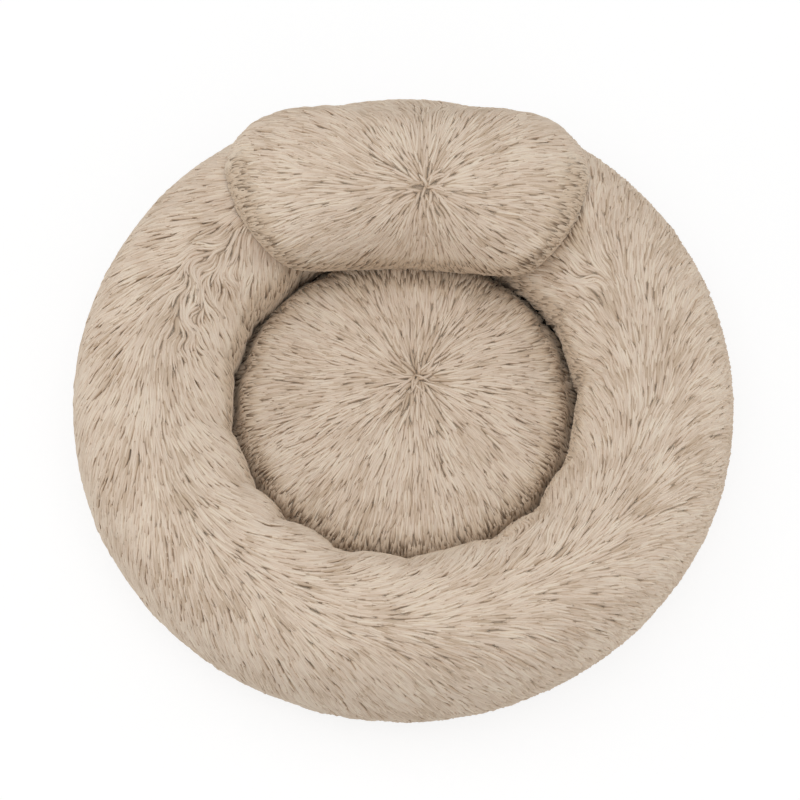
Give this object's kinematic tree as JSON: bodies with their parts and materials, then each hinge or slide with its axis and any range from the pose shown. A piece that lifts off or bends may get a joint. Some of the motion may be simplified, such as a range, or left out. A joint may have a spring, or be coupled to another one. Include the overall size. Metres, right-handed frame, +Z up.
{
  "type": "round plush pet bed",
  "caption": "Round plush pet bed: a stuffed faux-fur ring round a padded seat, with a head pillow sewn in at the rear and a zip in the base to take the seat's insert out.",
  "frame": {"origin": "on the floor under the middle of the ring", "axes": "+Z up, +Y towards the rear, where the head pillow is, +X to the right seen from the front"},
  "size_m": [0.6984, 0.6984, 0.2132],
  "materials": {
    "fur": "soft",
    "base_cloth": "soft",
    "lining_cloth": "soft",
    "fibre": "soft",
    "zip_tape": "soft",
    "zip_teeth": "matte",
    "zip_metal": "satin"
  },
  "bodies": {
    "bed": {"bolster_cover": "fur", "bolster_filling": "fibre", "seat_cover": "fur", "seat_liner": "lining_cloth", "seat_filling": "fibre", "base_panel_front": "base_cloth", "base_panel_rear": "base_cloth", "zip_tape_front": "zip_tape", "zip_tape_rear": "zip_tape", "zip_teeth_front": "zip_teeth", "zip_teeth_rear": "zip_teeth", "zip_start_stop": "zip_metal", "zip_end_stop_front": "zip_metal", "zip_end_stop_rear": "zip_metal"},
    "pillow": {"pillow_cover": "fur", "pillow_backing": "lining_cloth", "pillow_filling": "fibre"},
    "zip_slider": {"zip_slider": "zip_metal"},
    "zip_pull": {"zip_pull": "zip_metal"}
  },
  "joints": [
    {"name": "pillow_lift", "type": "hinge", "parent": "bed", "child": "pillow", "pos_m": [0.004, 0.14463, 0.098], "axis": [1, 0, 0], "range_deg": [0, 65]},
    {"name": "zip_slide", "type": "slide", "parent": "bed", "child": "zip_slider", "axis": [-1, 0, 0], "range_m": [0, 0.35], "deforming": ["zip_teeth_front", "zip_teeth_rear"]},
    {"name": "pull_swing", "type": "hinge", "parent": "zip_slider", "child": "zip_pull", "pos_m": [0.17965, 0, 0.0064], "axis": [0, -1, 0], "range_deg": [-10, 150]}
  ]
}
